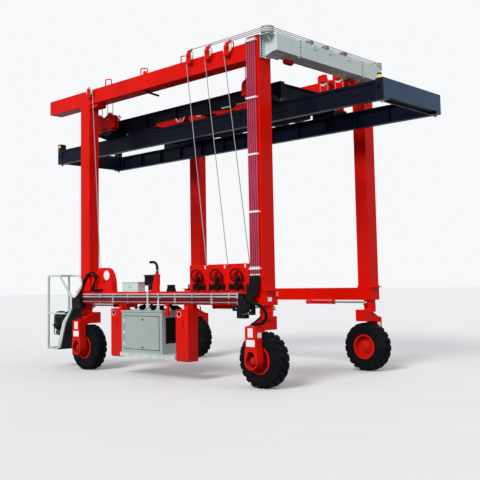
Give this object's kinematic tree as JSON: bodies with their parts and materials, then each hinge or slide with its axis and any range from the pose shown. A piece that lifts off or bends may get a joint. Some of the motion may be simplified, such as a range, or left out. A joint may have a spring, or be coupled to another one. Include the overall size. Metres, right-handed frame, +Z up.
{
  "type": "rubber tyred gantry crane",
  "caption": "Mobile gantry crane on rubber tyres that straddles one container and lifts it with a top spreader.",
  "frame": {"origin": "on the ground, midway between the legs and between the outer faces of the machine", "axes": "+X towards the end closed by the cross beam, -Y towards the side with the cab and engine, +Z up"},
  "size_m": [12.192, 4.98, 8.103],
  "materials": {
    "red_paint": "gloss red enamel on welded steel",
    "pale_paint": "pale grey-green enamel",
    "navy_paint": "near-black blue enamel",
    "black_paint": "satin black paint",
    "zinc": "galvanised steel",
    "steel": "bright steel and wire rope",
    "nylon": "cast nylon",
    "seat_cover": "black vinyl",
    "tyre": "black rubber",
    "hose": "black rubber hose with a braided sleeve"
  },
  "bodies": {
    "gantry": {"near_top_beam": "red_paint", "far_top_beam": "red_paint", "near_left_leg": "red_paint", "near_right_leg": "red_paint", "far_left_leg": "red_paint", "far_right_leg": "red_paint", "near_sill": "red_paint", "far_sill": "red_paint", "near_corner_beam": "pale_paint", "cross_beam": "pale_paint", "far_corner_beam": "pale_paint", "cross_beam_rollers": "zinc", "engine_enclosure": "pale_paint", "engine_skid": "pale_paint", "side_tanks": "red_paint", "sill_equipment": "black_paint", "winch_frame": "red_paint", "left_foot_housing": "red_paint", "cab_frame": "pale_paint", "cab_floor": "black_paint", "cab_seat": "seat_cover", "leg_pipes": "zinc", "sill_pipes": "zinc", "lead_brackets": "red_paint", "upper_sheaves": "nylon", "lead_ropes": "steel", "cab_mount": "black_paint", "steering_cylinders": "red_paint", "hoist_falls": "steel", "hose_bundle": "hose"},
    "spreader": {"spreader_near_beam": "navy_paint", "spreader_far_beam": "navy_paint", "spreader_ends": "navy_paint", "twistlocks": "steel", "lifting_near_beam": "navy_paint", "lifting_far_beam": "navy_paint", "lifting_cross_beams": "navy_paint", "sheave_blocks": "red_paint"},
    "winch_drum_1": {"winch_drum_1": "red_paint"},
    "lead_sheave_1": {"lead_sheave_1": "nylon"},
    "winch_drum_2": {"winch_drum_2": "red_paint"},
    "lead_sheave_2": {"lead_sheave_2": "nylon"},
    "winch_drum_3": {"winch_drum_3": "red_paint"},
    "lead_sheave_3": {"lead_sheave_3": "nylon"},
    "near_right_yoke": {"near_right_yoke": "red_paint"},
    "near_right_wheel": {"near_right_rim": "red_paint", "near_right_tyre": "tyre"},
    "near_right_rod": {"near_right_rod": "steel"},
    "far_right_yoke": {"far_right_yoke": "red_paint"},
    "far_right_wheel": {"far_right_rim": "red_paint", "far_right_tyre": "tyre"},
    "far_right_rod": {"far_right_rod": "steel"},
    "near_left_yoke": {"near_left_yoke": "red_paint"},
    "near_left_wheel": {"near_left_rim": "red_paint", "near_left_tyre": "tyre"},
    "near_left_rod": {"near_left_rod": "steel"},
    "far_left_yoke": {"far_left_yoke": "red_paint"},
    "far_left_wheel": {"far_left_rim": "red_paint", "far_left_tyre": "tyre"},
    "far_left_rod": {"far_left_rod": "steel"}
  },
  "joints": [
    {"name": "hoist", "type": "slide", "parent": "gantry", "child": "spreader", "axis": [0, 0, 1], "range_m": [-3.7, 0.2], "deforming": ["hoist_falls"]},
    {"name": "drum_1_turn", "type": "hinge", "parent": "gantry", "child": "winch_drum_1", "pos_m": [1.445, -2.05, 2.45], "axis": [0, 1, 0], "range_deg": [-5350, 350]},
    {"name": "lead_sheave_1_turn", "type": "hinge", "parent": "gantry", "child": "lead_sheave_1", "pos_m": [1.285, -2.34, 7.929], "axis": [0, 1, 0], "range_deg": [-5350, 350]},
    {"name": "drum_2_turn", "type": "hinge", "parent": "gantry", "child": "winch_drum_2", "pos_m": [2.095, -2.05, 2.45], "axis": [0, 1, 0], "range_deg": [-5350, 350]},
    {"name": "lead_sheave_2_turn", "type": "hinge", "parent": "gantry", "child": "lead_sheave_2", "pos_m": [1.935, -2.34, 7.887], "axis": [0, 1, 0], "range_deg": [-5350, 350]},
    {"name": "drum_3_turn", "type": "hinge", "parent": "gantry", "child": "winch_drum_3", "pos_m": [2.745, -2.05, 2.45], "axis": [0, 1, 0], "range_deg": [-5350, 350]},
    {"name": "lead_sheave_3_turn", "type": "hinge", "parent": "gantry", "child": "lead_sheave_3", "pos_m": [2.585, -2.34, 7.845], "axis": [0, 1, 0], "range_deg": [-5350, 350]},
    {"name": "near_right_steer", "type": "hinge", "parent": "gantry", "child": "near_right_yoke", "pos_m": [3.38, -2.045, 1.75], "axis": [0, 0, 1], "range_deg": [-20, 20]},
    {"name": "near_right_roll", "type": "hinge", "parent": "near_right_yoke", "child": "near_right_wheel", "pos_m": [3.28, -2.045, 0.62], "axis": [0, 1, 0], "continuous": true},
    {"name": "near_right_rod_slide", "type": "slide", "parent": "gantry", "child": "near_right_rod", "axis": [1, 0, 0], "range_m": [-0.081, 0.081]},
    {"name": "far_right_steer", "type": "hinge", "parent": "gantry", "child": "far_right_yoke", "pos_m": [3.38, 2.045, 1.75], "axis": [0, 0, 1], "range_deg": [-20, 20]},
    {"name": "far_right_roll", "type": "hinge", "parent": "far_right_yoke", "child": "far_right_wheel", "pos_m": [3.28, 2.045, 0.62], "axis": [0, 1, 0], "continuous": true},
    {"name": "far_right_rod_slide", "type": "slide", "parent": "gantry", "child": "far_right_rod", "axis": [1, 0, 0], "range_m": [-0.081, 0.081]},
    {"name": "near_left_steer", "type": "hinge", "parent": "gantry", "child": "near_left_yoke", "pos_m": [-3.38, -2.045, 1.75], "axis": [0, 0, 1], "range_deg": [-20, 20]},
    {"name": "near_left_roll", "type": "hinge", "parent": "near_left_yoke", "child": "near_left_wheel", "pos_m": [-3.28, -2.045, 0.62], "axis": [0, 1, 0], "continuous": true},
    {"name": "near_left_rod_slide", "type": "slide", "parent": "gantry", "child": "near_left_rod", "axis": [1, 0, 0], "range_m": [-0.081, 0.081]},
    {"name": "far_left_steer", "type": "hinge", "parent": "gantry", "child": "far_left_yoke", "pos_m": [-3.38, 2.045, 1.75], "axis": [0, 0, 1], "range_deg": [-20, 20]},
    {"name": "far_left_roll", "type": "hinge", "parent": "far_left_yoke", "child": "far_left_wheel", "pos_m": [-3.28, 2.045, 0.62], "axis": [0, 1, 0], "continuous": true},
    {"name": "far_left_rod_slide", "type": "slide", "parent": "gantry", "child": "far_left_rod", "axis": [1, 0, 0], "range_m": [-0.081, 0.081]}
  ],
  "couplings": [
    {"joint": "drum_1_turn", "follows": "hoist", "rad_per_m": 25},
    {"joint": "lead_sheave_1_turn", "follows": "hoist", "rad_per_m": 25},
    {"joint": "drum_2_turn", "follows": "hoist", "rad_per_m": 25},
    {"joint": "lead_sheave_2_turn", "follows": "hoist", "rad_per_m": 25},
    {"joint": "drum_3_turn", "follows": "hoist", "rad_per_m": 25},
    {"joint": "lead_sheave_3_turn", "follows": "hoist", "rad_per_m": 25},
    {"joint": "near_right_rod_slide", "follows": "near_right_steer", "m_per_rad": -0.23},
    {"joint": "far_right_steer", "follows": "near_right_steer", "ratio": 1},
    {"joint": "far_right_rod_slide", "follows": "near_right_steer", "m_per_rad": 0.23},
    {"joint": "near_left_rod_slide", "follows": "near_left_steer", "m_per_rad": -0.23},
    {"joint": "far_left_steer", "follows": "near_left_steer", "ratio": 1},
    {"joint": "far_left_rod_slide", "follows": "near_left_steer", "m_per_rad": 0.23}
  ]
}
